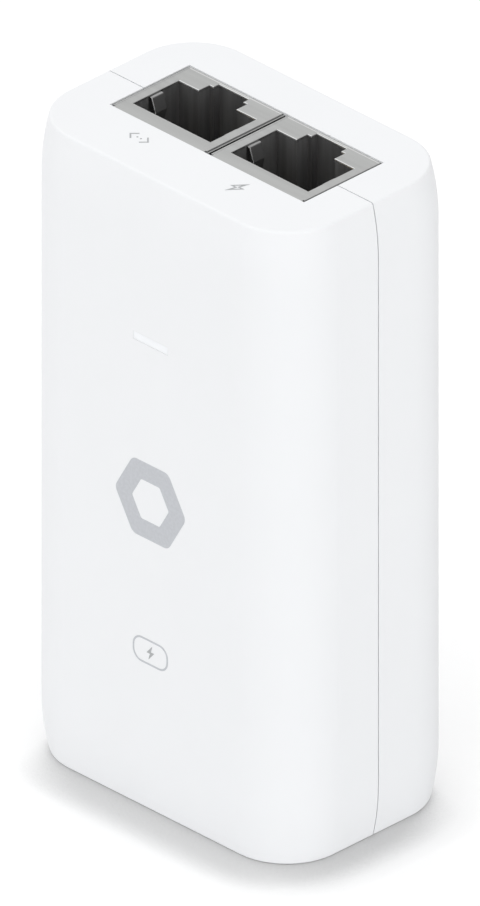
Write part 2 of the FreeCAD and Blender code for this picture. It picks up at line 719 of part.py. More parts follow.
def screw_bore(radius):
    """Bore along the axis of the heat-sink screw."""
    return rod((TRANSISTOR_X[0] - 1, SCREW_Y, SCREW_Z), (SINK_X[1] + 1, SCREW_Y, SCREW_Z), radius)


def switching_transistor():
    """Fully moulded transistor standing against the heat sink on three leads."""
    half = TRANSISTOR_HEIGHT / 2
    body = box(*TRANSISTOR_X, *TRANSISTOR_Y, SCREW_Z - half, SCREW_Z + half)
    body = rounded_edges(body, 0.5, lambda edge: edge.CenterOfMass.x < TRANSISTOR_X[0] + 0.1)
    spots = [(TRANSISTOR_LEADS_X, SCREW_Z + step * CHIP_PITCH) for step in (-1, 0, 1)]
    top = TRANSISTOR_Y[0] + 0.5
    return with_leads(body.cut(screw_bore(TRANSISTOR_BORE)), spots, top, 0.4)


def heat_sink():
    """Folded aluminium plate with a screw hole and two board tabs."""
    plate = box(*SINK_X, BOARD_BACK + STAND_OFF, SINK_BACK, *SINK_Z)
    lip_x, lip_y, lip_z = SINK_LIP
    lip = box(SINK_X[0] - lip_x, SINK_X[1], SINK_BACK - lip_y, SINK_BACK,
              SINK_Z[1] - lip_z, SINK_Z[1])
    tabs = []
    half = SINK_TAB_WIDTH / 2
    for z in SINK_TABS:
        tabs.append(box(*SINK_X, LEAD_END, BOARD_BACK + 1, z - half, z + half))
        board_holes.append(box(SINK_X[0] - HOLE_CLEARANCE, SINK_X[1] + HOLE_CLEARANCE,
                               BOARD_FRONT - 1, BOARD_BACK + 1,
                               z - half - HOLE_CLEARANCE, z + half + HOLE_CLEARANCE))
    return joined([plate, lip] + tabs).cut(screw_bore(SINK_BORE))


def heat_sink_screw():
    """Pan-head screw that clamps the transistor to the plate."""
    seat = TRANSISTOR_X[0] - 0.05
    top = seat - 1.95
    head = rod((top, SCREW_Y, SCREW_Z), (seat, SCREW_Y, SCREW_Z), SCREW_HEAD)
    head = rounded_edges(head, 0.6, lambda edge: edge.CenterOfMass.x < top + 0.1)
    shank = rod((seat, SCREW_Y, SCREW_Z), (SCREW_END, SCREW_Y, SCREW_Z), SCREW_RADIUS)
    slots = [block((top, SCREW_Y, SCREW_Z), (1.6, *size)) for size in ((0.6, 3.0), (3.0, 0.6))]
    return joined([head, shank]).cut(slots)


def transformer_core_half(side):
    """One E-shaped ferrite half: back, centre leg and two outer legs."""
    x, y, z = CORE_CENTRE
    length, width, thickness = CORE_SIZE
    low, high = z - thickness / 2, z + thickness / 2
    end = x + side * length / 2
    near = x + side * CORE_AIR_GAP / 2
    outer_y = (width - CORE_OUTER_LEG) / 2
    bars = [box(end, end - side * CORE_BACK, y - width / 2, y + width / 2, low, high)]
    for leg_y, leg in ((y, CORE_LEG), (y - outer_y, CORE_OUTER_LEG), (y + outer_y, CORE_OUTER_LEG)):
        bars.append(box(end, near, leg_y - leg / 2, leg_y + leg / 2, low, high))
    return joined(bars)


def bobbin_hole():
    """Space through the bobbin tube for the centre legs of the core."""
    return block(CORE_CENTRE, (CORE_SIZE[0] + 4, CORE_LEG + BOBBIN_FIT, CORE_SIZE[2] + BOBBIN_FIT))


def transformer_bobbin():
    """Winding former: square tube, two flanges and four feet on the board."""
    x, y, z = CORE_CENTRE
    tube = block(CORE_CENTRE, (BOBBIN_LENGTH, CORE_LEG + 2 * BOBBIN_WALL,
                               CORE_SIZE[2] + 2 * BOBBIN_WALL))
    parts = [tube]
    spots = []
    foot_x, foot_z = BOBBIN_FOOT
    for side in (-1, 1):
        flange_x = x + side * (BOBBIN_LENGTH - BOBBIN_FLANGE[0]) / 2
        place_x = flange_x - side * BOBBIN_FLANGE[0] / 2
        parts.append(block((flange_x, y, z), BOBBIN_FLANGE))
        for end in (-BOBBIN_FOOT_Z, BOBBIN_FOOT_Z):
            foot = (place_x, (BOARD_BACK + y) / 2, z + end)
            parts.append(block(foot, (foot_x, y - BOARD_BACK - 0.1, foot_z)))
            spots.append((place_x, z + end))
    return with_leads(joined(parts).cut(bobbin_hole()), spots, BOARD_BACK + 1, 0.35)


def winding_block(growth):
    """Space filled by the winding between the bobbin flanges, grown outwards."""
    length = BOBBIN_LENGTH - 2 * BOBBIN_FLANGE[0]
    across, high = (size + 2 * growth for size in WINDING_SIZE)
    body = block(CORE_CENTRE, (length, across, high))
    return rounded_edges(body, WINDING_ROUND + growth, lambda edge: runs_along(edge, (1, 0, 0)))


def transformer_winding():
    """Copper winding round the bobbin tube."""
    return winding_block(0).cut([transformer_bobbin(), bobbin_hole()])


def transformer_tape():
    """Insulating tape wrapped over the winding."""
    return winding_block(TAPE).cut([winding_block(0), transformer_bobbin()])


def output_diode():
    """Axial diode lying along the board with both leads bent down."""
    x, y, z = DIODE_CENTRE
    half = DIODE_LENGTH / 2
    pitch = DIODE_PITCH / 2
    body = rod((x, y, z - half), (x, y, z + half), DIODE_RADIUS)
    body = rounded_edges(body, 0.3, lambda edge: True)
    reach = rod((x, y, z - pitch - 0.2), (x, y, z + pitch + 0.2), DIODE_LEAD)
    return with_leads(joined([body, reach]), [(x, z - pitch), (x, z + pitch)], y, DIODE_LEAD)


def output_choke_core():
    """Drum-shaped ferrite of the output choke."""
    x, z = DRUM_AT
    waist, flange = DRUM_RADII
    top = DRUM_BASE + DRUM_LENGTH
    ends = [rod((x, y, z), (x, y + DRUM_FLANGE, z), flange) for y in (DRUM_BASE, top - DRUM_FLANGE)]
    return joined([rod((x, DRUM_BASE, z), (x, top, z), waist)] + ends)


def output_choke_winding():
    """Copper winding in the drum waist."""
    return ring(DRUM_AT, (DRUM_RADII[0], DRUM_COIL_RADIUS), DRUM_BASE + DRUM_FLANGE,
                DRUM_BASE + DRUM_LENGTH - DRUM_FLANGE)


def solder_side_chip(place, size, leads, pitch):
    """Surface-mounted package on the front side of the board with short gull-wing leads."""
    x, z = place
    width, height, length = size
    body = block((x, BOARD_FRONT - 0.1 - height / 2, z), size)
    body = rounded_edges(body, 0.25, lambda edge: edge.CenterOfMass.y < BOARD_FRONT - height)
    feet = []
    for row in (-1, 1):
        for index in range(leads):
            offset = (index - (leads - 1) / 2) * pitch
            foot = (x + offset, BOARD_FRONT - CHIP_FOOT[1] / 2, z + row * (length / 2 + 0.4))
            feet.append(block(foot, CHIP_FOOT))
    return joined([body] + feet)


def status_led():
    """Side-by-side lamp package behind the light pipe."""
    return block((LIGHT_X, BOARD_FRONT - LED_SIZE[1] / 2, LIGHT_Z), LED_SIZE)


def main_board():
    """Circuit board drilled for every lead, tab and peg noted while the parts were built."""
    board = box(-BOARD_HALF_WIDTH, BOARD_HALF_WIDTH, BOARD_FRONT, BOARD_BACK,
                BOARD_BOTTOM, BOARD_TOP)
    board = rounded_edges(board, 1.0, lambda edge: runs_along(edge, (0, 1, 0)))
    return board.cut(board_holes)


def insulation_sheet():
    """Thin barrier between the mains solder joints and the front cover."""
    barrier_y = LEAD_END - BARRIER_GAP - BARRIER_SIZE[1] / 2
    return block((0, barrier_y, BARRIER_Z), BARRIER_SIZE)


def save(name, shape):
    """Write one node as its own STEP file."""
    shape.exportStep("parts/" + name + ".step")


def save_case():
    """Both case halves with the light pipe and the label they carry."""
    save("front_cover", front_cover())
    save("rear_cover", rear_cover())
    save("light_pipe", light_pipe())
    save("rating_label", rating_label())


def save_jack(name, x):
    """Every piece of one jack centred at x."""
    springs = [contact_spring(column) for column in contact_columns(x)]
    tails = []
    for index, column in enumerate(contact_columns(x)):
        tails.append(contact_tail(column, TAIL_ROWS[index % 2]))
    save(name + "_shield", jack_shield(x))
    save(name + "_housing", jack_housing(x))
    save(name + "_contacts", Part.makeCompound(springs))
    save(name + "_contact_tails", Part.makeCompound(tails))
    save(name + "_left_finger", earth_finger(x, -1))
    save(name + "_right_finger", earth_finger(x, 1))


def save_inlet():
    """Mains inlet with its three blades, noting their holes in the board."""
    save("inlet_housing", inlet_housing())
    for name, (x, y, tip, tail_z) in INLET_BLADES.items():
        save(name + "_pin", inlet_pin(x, y, tip, tail_z))
        board_holes.append(block((x, BOARD_FRONT, tail_z), (PIN_HOLE, 5, PIN_HOLE)))


def save_power_stage():
    """Mains-side components with the barrier behind their solder joints."""
    save("fuse", fuse())
    save("varistor", disc_part(VARISTOR_CENTRE, VARISTOR_RADIUS, VARISTOR_THICKNESS, (0, 0, 1)))
    save("x_capacitor", film_capacitor())
    save("choke_core", choke_core())
    save("choke_line_winding", choke_winding(1))
    save("choke_neutral_winding", choke_winding(-1))
    save("bridge_rectifier", moulded_chip(BRIDGE_AT, BRIDGE_SIZE, BRIDGE_PITCH))
    save("bulk_capacitor", electrolytic(BULK_AT, BULK_RADIUS, BULK_HEIGHT, LEAD_PITCH))
    save("switching_transistor", switching_transistor())
    save("heat_sink", heat_sink())
    save("heat_sink_screw", heat_sink_screw())
    save("optocoupler", moulded_chip(OPTOCOUPLER_AT, OPTOCOUPLER_SIZE, CHIP_PITCH))
    save("y_capacitor", disc_part(Y_CAPACITOR_CENTRE, Y_CAPACITOR_RADIUS,
                                  Y_CAPACITOR_THICKNESS, (1, 0, 0)))
    save("insulation_sheet", insulation_sheet())


def save_transformer():
    """Power transformer in its separate pieces."""
    save("transformer_core_left", transformer_core_half(-1))
    save("transformer_core_right", transformer_core_half(1))
    save("transformer_bobbin", transformer_bobbin())
    save("transformer_winding", transformer_winding())
    save("transformer_tape", transformer_tape())


def save_output_stage():
    """Low-voltage components and the parts on the solder side."""
    capacitors = []
    for z in OUTPUT_CAPACITOR_Z:
        capacitors.append(electrolytic((OUTPUT_CAPACITOR_X, z), OUTPUT_CAPACITOR_RADIUS,
                                       OUTPUT_CAPACITOR_HEIGHT, OUTPUT_CAPACITOR_PITCH))
    save("output_capacitors", Part.makeCompound(capacitors))
    save("output_diode", output_diode())
    save("output_choke_core", output_choke_core())
    save("output_choke_winding", output_choke_winding())
    pulse_transformers = []
    for x in (-JACK_OFFSET, JACK_OFFSET):
        pulse_transformers.append(solder_side_chip((x, LAN_TRANSFORMER_Z), LAN_TRANSFORMER_SIZE,
                                                   LAN_LEADS, LAN_PITCH))
    save("lan_transformers", Part.makeCompound(pulse_transformers))
    save("power_controller", solder_side_chip(CONTROLLER_AT, CONTROLLER_SIZE,
                                              CONTROLLER_LEADS, CONTROLLER_PITCH))
    save("status_led", status_led())


os.makedirs("parts", exist_ok=True)
save_case()
save_jack("data_port", -JACK_OFFSET)
save_jack("poe_port", JACK_OFFSET)
save_inlet()
save_power_stage()
save_transformer()
save_output_stage()
save("main_board", main_board())
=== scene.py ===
"""Studio picture of the power-over-Ethernet injector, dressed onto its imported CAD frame."""

import json
import math

import bpy
from mathutils import Matrix, Vector


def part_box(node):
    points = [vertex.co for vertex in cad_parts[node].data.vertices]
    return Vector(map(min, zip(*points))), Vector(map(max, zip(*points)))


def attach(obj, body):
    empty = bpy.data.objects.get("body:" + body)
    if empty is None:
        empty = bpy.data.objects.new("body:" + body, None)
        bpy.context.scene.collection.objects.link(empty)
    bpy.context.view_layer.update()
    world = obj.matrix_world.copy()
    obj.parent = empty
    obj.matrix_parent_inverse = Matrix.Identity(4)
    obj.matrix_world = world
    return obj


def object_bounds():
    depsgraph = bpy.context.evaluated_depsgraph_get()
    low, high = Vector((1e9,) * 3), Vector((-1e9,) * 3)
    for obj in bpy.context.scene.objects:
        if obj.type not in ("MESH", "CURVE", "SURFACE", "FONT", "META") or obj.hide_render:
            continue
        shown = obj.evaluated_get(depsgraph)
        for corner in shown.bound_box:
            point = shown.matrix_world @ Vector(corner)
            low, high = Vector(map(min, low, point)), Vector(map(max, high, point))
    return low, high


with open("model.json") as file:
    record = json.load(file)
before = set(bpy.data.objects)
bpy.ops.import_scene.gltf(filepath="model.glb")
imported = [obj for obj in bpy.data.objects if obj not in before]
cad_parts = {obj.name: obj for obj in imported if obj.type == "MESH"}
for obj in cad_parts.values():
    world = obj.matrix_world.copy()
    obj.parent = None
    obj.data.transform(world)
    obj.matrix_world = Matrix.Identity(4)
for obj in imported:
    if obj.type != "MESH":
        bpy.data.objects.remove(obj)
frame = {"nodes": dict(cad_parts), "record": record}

MM = 0.001

# Camera, aimed at the middle of the object
CAMERA_AZIMUTH = 45.2
CAMERA_ELEVATION = 30.0
CAMERA_DISTANCE = 2.0
PICTURE_HEIGHT = 107.93 * MM

# Prints on the front
INK = 0.02 * MM
FRONT_X = 0.3 * MM
MARK_Z = 43.0 * MM
MARK_SIDES = 6
MARK_SIZE = 12.0 * MM
MARK_STROKE = 2.5 * MM
MARK_OUTER_ROUND = 1.2 * MM
MARK_INNER_ROUND = 0.4 * MM
BADGE_Z = 22.35 * MM
BADGE_WIDTH = 5.7 * MM
BADGE_HEIGHT = 3.25 * MM
BADGE_ROUND = 0.42 * BADGE_HEIGHT
BADGE_STROKE = 0.25 * MM
BADGE_BOLT = 2.0 * MM

# Prints on the top
SYMBOL_Y = -8.7 * MM
SYMBOL_STROKE = 0.2 * MM
POWER_BOLT = 2.3 * MM
ARROW_TIP_X = 1.48 * MM
ARROW_ARM_X = 0.72 * MM
ARROW_ARM_Y = 0.76 * MM
ARROW_MITRE = 0.7 * SYMBOL_STROKE
DOT_X = 0.3 * MM
DOT_RADIUS = 0.13 * MM

# Light
SKY_LOW = 0.96
SKY_HIGH = 1.21
DARK_AZIMUTH = 160
DARK_EDGE = 0.6
SIDE_AZIMUTH = 75
SIDE_ELEVATION = 5
SIDE_SPREAD = 60
SIDE_STRENGTH = 0.14 * math.pi

# Floor and its painted shadow
FLOOR_SIZE = 6.0
FLOOR_DROP = 0.02 * MM
FLOOR_COLOR = (0.93, 0.93, 0.93)
SHADOW_AZIMUTH = 225
SHADOW_ELEVATION = 20
SHADOW_REACH = 8.0 * MM
SHADOW_SAMPLES = 4
# Painted shadow: grey of the floor by how open it is towards the shadow's direction
FLOOR_PAINTED_SHADOW = ((0.5, 0.56), (0.51, 0.63), (0.52, 0.77), (0.54, 0.84), (0.6, 0.89), (0.8, 0.92),
                (1.0, 1.0))

# Colour sockets of a Mix node
MIX_FACTOR = 0
MIX_FIRST = 6
MIX_SECOND = 7
MIX_RESULT = 2


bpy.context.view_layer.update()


# ---- materials ----

def new_material(name, color, roughness, metallic=0.0):
    """Principled material with its node tree, ready for detail."""
    material = bpy.data.materials.new(name)
    material.use_nodes = True
    shader = material.node_tree.nodes["Principled BSDF"]
    shader.inputs["Base Color"].default_value = (*color, 1.0)
    shader.inputs["Roughness"].default_value = roughness
    shader.inputs["Metallic"].default_value = metallic
    return material


def noise(material, scale, detail=4.0, stretch=(1.0, 1.0, 1.0)):
    """Noise over the object's own coordinates; stretch makes it run along an axis."""
    nodes = material.node_tree.nodes
    links = material.node_tree.links
    place = nodes.new("ShaderNodeTexCoord")
    mapping = nodes.new("ShaderNodeMapping")
    mapping.inputs["Scale"].default_value = stretch
    texture = nodes.new("ShaderNodeTexNoise")
    texture.inputs["Scale"].default_value = scale
    texture.inputs["Detail"].default_value = detail
    links.new(place.outputs["Object"], mapping.inputs["Vector"])
    links.new(mapping.outputs["Vector"], texture.inputs["Vector"])
    return texture.outputs["Fac"]


def vary(material, factor, socket, low, high):
    """Drive one shader value between two numbers by a texture."""
    nodes = material.node_tree.nodes
    links = material.node_tree.links
    spread = nodes.new("ShaderNodeMapRange")
    spread.inputs["To Min"].default_value = low
    spread.inputs["To Max"].default_value = high
    links.new(factor, spread.inputs["Value"])
    links.new(spread.outputs["Result"], nodes["Principled BSDF"].inputs[socket])


def tint(material, factor, dark, light):
    """Blend the base colour between two near shades by a texture."""
    nodes = material.node_tree.nodes
    links = material.node_tree.links
    ramp = nodes.new("ShaderNodeValToRGB")
    ramp.color_ramp.elements[0].position = 0.35
    ramp.color_ramp.elements[0].color = (*dark, 1.0)
    ramp.color_ramp.elements[1].position = 0.65
    ramp.color_ramp.elements[1].color = (*light, 1.0)
    links.new(factor, ramp.inputs["Fac"])
    links.new(ramp.outputs["Color"], nodes["Principled BSDF"].inputs["Base Color"])


def relief(material, factor, strength, depth):
    """Bump the surface by a texture; depth is in metres."""
    nodes = material.node_tree.nodes
    links = material.node_tree.links
    bump = nodes.new("ShaderNodeBump")
    bump.inputs["Strength"].default_value = strength
    bump.inputs["Distance"].default_value = depth
    links.new(factor, bump.inputs["Height"])
    links.new(bump.outputs["Normal"], nodes["Principled BSDF"].inputs["Normal"])


def mix_color(material, factor, first, second):
    """Blend two colours by a factor; each colour is a socket or plain numbers."""
    links = material.node_tree.links
    blend = material.node_tree.nodes.new("ShaderNodeMix")
    blend.data_type = "RGBA"
    links.new(factor, blend.inputs[MIX_FACTOR])
    for index, color in ((MIX_FIRST, first), (MIX_SECOND, second)):
        if isinstance(color, tuple):
            blend.inputs[index].default_value = (*color, 1.0)
        else:
            links.new(color, blend.inputs[index])
    return blend.outputs[MIX_RESULT]


def shade(color, factor):
    """Colour made darker or lighter by a factor."""
    return tuple(min(1.0, value * factor) for value in color)


def moulded(name, color, roughness, grain=3000.0, depth=0.004 * MM):
    """Moulded plastic: fine spark-eroded grain and slightly uneven gloss."""
    material = new_material(name, color, roughness)
    fine = noise(material, grain, detail=3.0)
    broad = noise(material, scale=60.0, detail=2.0)
    tint(material, broad, shade(color, 0.996), shade(color, 1.004))
    vary(material, fine, "Roughness", roughness - 0.04, roughness + 0.06)
    relief(material, fine, strength=0.15, depth=depth)
    return material


def sheet_metal(name, color, roughness, along, metallic=1.0):
    """Rolled or plated metal with fine lines along one direction."""
    material = new_material(name, color, roughness, metallic)
    lines = noise(material, scale=900.0, detail=5.0, stretch=along)
    tint(material, lines, shade(color, 0.93), shade(color, 1.04))
    vary(material, lines, "Roughness", roughness - 0.06, roughness + 0.08)
    relief(material, lines, strength=0.1, depth=0.002 * MM)
    return material


def metal_painted_by_facing(name, color, roughness, along, painted_highlight, painted_shade, metallic=1.0):
    """Plated sheet with light painted by facing: sheared ends, facing front and back, get a
    painted highlight and folded sides a painted shade.
    """
    material = sheet_metal(name, color, roughness, along, metallic)
    nodes = material.node_tree.nodes
    links = material.node_tree.links
    surface = nodes.new("ShaderNodeNewGeometry")
    split = nodes.new("ShaderNodeSeparateXYZ")
    links.new(surface.outputs["Normal"], split.inputs["Vector"])
    result = nodes["Color Ramp"].outputs["Color"]
    # Painted light: faces along Y are pushed towards a painted highlight, faces along X towards a
    # painted shade.
    for axis, painted_grey in (("Y", painted_highlight), ("X", painted_shade)):
        facing = nodes.new("ShaderNodeMath")
        facing.operation = "ABSOLUTE"
        links.new(split.outputs[axis], facing.inputs[0])
        result = mix_color(material, facing.outputs["Value"], result, (painted_grey, painted_grey, painted_grey))
    links.new(result, nodes["Principled BSDF"].inputs["Base Color"])
    return material


def drawn_plastic(name, color, roughness):
    """Dark moulding with faint upright draw marks on its walls."""
    material = new_material(name, color, roughness)
    marks = noise(material, scale=1400.0, detail=4.0, stretch=(1.0, 1.0, 0.04))
    tint(material, marks, shade(color, 0.85), shade(color, 1.25))
    vary(material, marks, "Roughness", roughness - 0.15, roughness + 0.15)
    relief(material, marks, strength=0.3, depth=0.01 * MM)
    return material


def ferrite():
    """Fired ferrite: dark, dull and slightly speckled."""
    material = new_material("ferrite", (0.05, 0.05, 0.055), 0.6)
    speckle = noise(material, scale=2500.0, detail=6.0)
    tint(material, speckle, (0.035, 0.035, 0.04), (0.075, 0.075, 0.08))
    relief(material, speckle, strength=0.4, depth=0.02 * MM)
    return material


def copper_winding():
    """Enamelled wire laid in close turns."""
    material = new_material("copper", (0.55, 0.22, 0.08), 0.3, 1.0)
    nodes = material.node_tree.nodes
    place = nodes.new("ShaderNodeTexCoord")
    turns = nodes.new("ShaderNodeTexWave")
    turns.inputs["Scale"].default_value = 900.0
    turns.inputs["Distortion"].default_value = 0.6
    material.node_tree.links.new(place.outputs["Object"], turns.inputs["Vector"])
    tint(material, turns.outputs["Fac"], (0.36, 0.13, 0.05), (0.62, 0.27, 0.1))
    relief(material, turns.outputs["Fac"], strength=0.5, depth=0.1 * MM)
    return material


def circuit_board():
    """Green solder mask over faint copper areas."""
    material = new_material("board", (0.02, 0.15, 0.06), 0.35)
    areas = noise(material, scale=260.0, detail=1.0)
    tint(material, areas, (0.015, 0.11, 0.045), (0.03, 0.19, 0.08))
    relief(material, areas, strength=0.3, depth=0.03 * MM)
    return material


def coated_paper(name, color):
    """Label stock with a faint fibre grain."""
    material = new_material(name, color, 0.5)
    fibres = noise(material, scale=1800.0, detail=8.0, stretch=(1.0, 1.0, 3.0))
    tint(material, fibres, shade(color, 0.98), shade(color, 1.01))
    relief(material, fibres, strength=0.2, depth=0.005 * MM)
    return material


def printed_ink(name, color):
    """Pad-printed ink, a little uneven over the case grain."""
    material = new_material(name, color, 0.55)
    cover = noise(material, scale=2600.0, detail=3.0)
    tint(material, cover, shade(color, 0.96), shade(color, 1.03))
    relief(material, cover, strength=0.15, depth=0.003 * MM)
    return material


def frosted_lamp():
    """Milky light guide that passes some light."""
    material = moulded("lamp", (0.9, 0.92, 0.95), 0.35, grain=2000.0)
    shader = material.node_tree.nodes["Principled BSDF"]
    shader.inputs["Subsurface Weight"].default_value = 0.3
    shader.inputs["Subsurface Radius"].default_value = (1.0, 1.0, 1.0)
    shader.inputs["Subsurface Scale"].default_value = 0.5 * MM
    return material


def make_materials():
    """One material for each slot of the record."""
    upright = (1.0, 1.0, 0.06)
    across = (0.06, 1.0, 1.0)
    return {
        "white_case": moulded("white_case", (0.835, 0.845, 0.86), 0.5),
        "black_insert": drawn_plastic("black_insert", (0.088, 0.088, 0.088), 0.4),
        "black_case": moulded("black_case", (0.03, 0.03, 0.03), 0.55),
        "blue_coating": moulded("blue_coating", (0.03, 0.12, 0.4), 0.25),
        "yellow_case": moulded("yellow_case", (0.75, 0.5, 0.05), 0.4),
        "yellow_tape": coated_paper("yellow_tape", (0.8, 0.6, 0.1)),
        "capacitor_sleeve": moulded("capacitor_sleeve", (0.03, 0.035, 0.08), 0.25),
        "barrier_film": coated_paper("barrier_film", (0.7, 0.7, 0.62)),
        "label": coated_paper("label", (0.72, 0.73, 0.74)),
        # Nickel shield and spring strip: painted highlight on sheared ends, painted shade on
        # folded sides.
        "nickel_shield": metal_painted_by_facing("nickel_shield", (0.44, 0.445, 0.44), 0.4, across,
                                     painted_highlight=0.98, painted_shade=0.3),
        "spring_strip": metal_painted_by_facing("spring_strip", (0.4, 0.4, 0.4), 0.33, upright,
                                    painted_highlight=0.95, painted_shade=0.06, metallic=0.3),
        "gold_contact": sheet_metal("gold_contact", (0.95, 0.66, 0.25), 0.35, upright,
                                    metallic=0.4),
        "plated_brass": sheet_metal("plated_brass", (0.7, 0.68, 0.62), 0.3, upright),
        "aluminium": sheet_metal("aluminium", (0.7, 0.7, 0.71), 0.4, upright),
        "steel": sheet_metal("steel", (0.5, 0.5, 0.5), 0.35, upright),
        "ferrite": ferrite(),
        "copper": copper_winding(),
        "board": circuit_board(),
        "lamp": frosted_lamp(),
    }


def dress_cad_nodes(materials):
    """Give every CAD node the material of its slot."""
    for part in frame["record"]["subparts"]:
        node = frame["nodes"][part["node"]]
        node.data.materials.clear()
        node.data.materials.append(materials[part["material_slot"]])


# ---- prints ----

def offset_loop(points, distance):
    """Closed loop moved sideways by a distance, with mitred corners."""
    moved = []
    count = len(points)
    for index, point in enumerate(points):
        before = (point - points[index - 1]).normalized()
        after = (points[(index + 1) % count] - point).normalized()
        side_before = Vector((before.y, -before.x))
        side_after = Vector((after.y, -after.x))
        bisector = (side_before + side_after).normalized()
        moved.append(point + bisector * (distance / bisector.dot(side_after)))
    return moved


def outline_loops(points, stroke):
    """Outer and inner loop of a line drawn along a closed shape."""
    return [offset_loop(points, stroke / 2), offset_loop(points, -stroke / 2)]


def rounded_loop(corners, radius, steps=6):
    """Closed loop through convex corners, each replaced by an arc."""
    loop = []
    count = len(corners)
    for index, corner in enumerate(corners):
        back = (corners[index - 1] - corner).normalized()
        ahead = (corners[(index + 1) % count] - corner).normalized()
        half = math.acos(max(-1.0, min(1.0, back.dot(ahead)))) / 2
        centre = corner + (back + ahead).normalized() * (radius / math.sin(half))
        start = corner + back * (radius / math.tan(half)) - centre
        end = corner + ahead * (radius / math.tan(half)) - centre
        sweep = math.atan2(start.x * end.y - start.y * end.x, start.dot(end))
        for step in range(steps + 1):
            loop.append(centre + Matrix.Rotation(sweep * step / steps, 2) @ start)
    return loop


def box_corners(width, height):
    """Corners of a rectangle round the origin, counter-clockwise."""
    x, y = width / 2, height / 2
    return [Vector((x, -y)), Vector((x, y)), Vector((-x, y)), Vector((-x, -y))]


def circle(centre, radius, steps=16):
    """Round loop."""
    turns = [2 * math.pi * step / steps for step in range(steps)]
    return [Vector(centre) + Vector((math.cos(t), math.sin(t))) * radius for t in turns]


def bolt_shape(height):
    """Lightning bolt outline round the origin."""
    half = ((0.16, 0.5), (-0.32, -0.06), (-0.04, -0.06))
    other_half = [(-x, -y) for x, y in half]
    return [Vector(point) * height for point in (*half, *other_half)]


def flat_print(name, loops, place, ink):
    """Thin print cut from closed loops, laid on the case."""
    curve = bpy.data.curves.new(name, "CURVE")
    curve.dimensions = "2D"
    curve.fill_mode = "BOTH"
    curve.extrude = INK / 2
    for loop in loops:
        spline = curve.splines.new("POLY")
        spline.points.add(len(loop) - 1)
        for point, corner in zip(spline.points, loop):
            point.co = (corner.x, corner.y, 0.0, 1.0)
        spline.use_cyclic_u = True
    drawn = bpy.data.objects.new(name + "_curve", curve)
    bpy.context.scene.collection.objects.link(drawn)
    finished = drawn.evaluated_get(bpy.context.evaluated_depsgraph_get())
    mesh = bpy.data.meshes.new_from_object(finished)
    bpy.data.objects.remove(drawn)
    mesh.name = name
    mesh.materials.clear()
    mesh.materials.append(ink)
    piece = bpy.data.objects.new(name, mesh)
    bpy.context.scene.collection.objects.link(piece)
    piece.matrix_world = place @ Matrix.Translation((0, 0, INK / 2))
    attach(piece, "case")


def on_front(x, z):
    """Place on the front face, drawn as seen from the front."""
    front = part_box("front_cover")[0].y
    return Matrix.Translation((x, front, z)) @ Matrix.Rotation(math.pi / 2, 4, "X")


def on_top(x, y):
    """Place on the top face, drawn as seen from above with the front below."""
    return Matrix.Translation((x, y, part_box("front_cover")[1].z))


def print_front(ink, fine_ink):
    """Hexagon mark and powered badge on the front."""
    outer = circle((0, 0), MARK_SIZE / 2, MARK_SIDES)
    inner_radius = MARK_SIZE / 2 - MARK_STROKE / math.cos(math.pi / MARK_SIDES)
    inner = circle((0, 0), inner_radius, MARK_SIDES)
    mark = [rounded_loop(outer, MARK_OUTER_ROUND), rounded_loop(inner, MARK_INNER_ROUND)]
    flat_print("front_mark", mark, on_front(FRONT_X, MARK_Z), ink)
    badge = rounded_loop(box_corners(BADGE_WIDTH, BADGE_HEIGHT), BADGE_ROUND)
    badge_place = on_front(FRONT_X, BADGE_Z)
    flat_print("badge_border", outline_loops(badge, BADGE_STROKE), badge_place, ink)
    flat_print("badge_bolt", [bolt_shape(BADGE_BOLT)], badge_place, fine_ink)


def print_top(ink):
    """Power and data symbols in front of their jacks."""
    low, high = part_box("poe_port_shield")
    powered_x = (low.x + high.x) / 2
    bolt = outline_loops(bolt_shape(POWER_BOLT), SYMBOL_STROKE)
    flat_print("power_symbol", bolt, on_top(powered_x, SYMBOL_Y), ink)
    data_place = on_top(-powered_x, SYMBOL_Y)
    for side, name in ((-1, "left"), (1, "right")):
        flat_print("data_chevron_" + name, [chevron(side)], data_place, ink)
        flat_print("data_dot_" + name, [circle((side * DOT_X, 0), DOT_RADIUS)], data_place, ink)


def chevron(side):
    """Arrow head that points outwards to one side."""
    tip = Vector((ARROW_TIP_X, 0.0))
    arm = Vector((ARROW_ARM_X, ARROW_ARM_Y))
    along = (arm - tip).normalized()
    across = Vector((-along.y, along.x)) * SYMBOL_STROKE / 2
    mitre = Vector((ARROW_MITRE, 0.0))
    outer = arm - across
    inner = arm + across
    lower_outer = Vector((outer.x, -outer.y))
    lower_inner = Vector((inner.x, -inner.y))
    points = [outer, tip + mitre, lower_outer, lower_inner, tip - mitre, inner]
    return [Vector((point.x * side, point.y)) for point in points]


def print_marks():
    """All prints of the case."""
    ink = printed_ink("mark_ink", (0.515, 0.53, 0.56))
    fine_ink = printed_ink("fine_ink", (0.4, 0.41, 0.42))
    print_front(ink, fine_ink)
    print_top(fine_ink)


# ---- studio ----

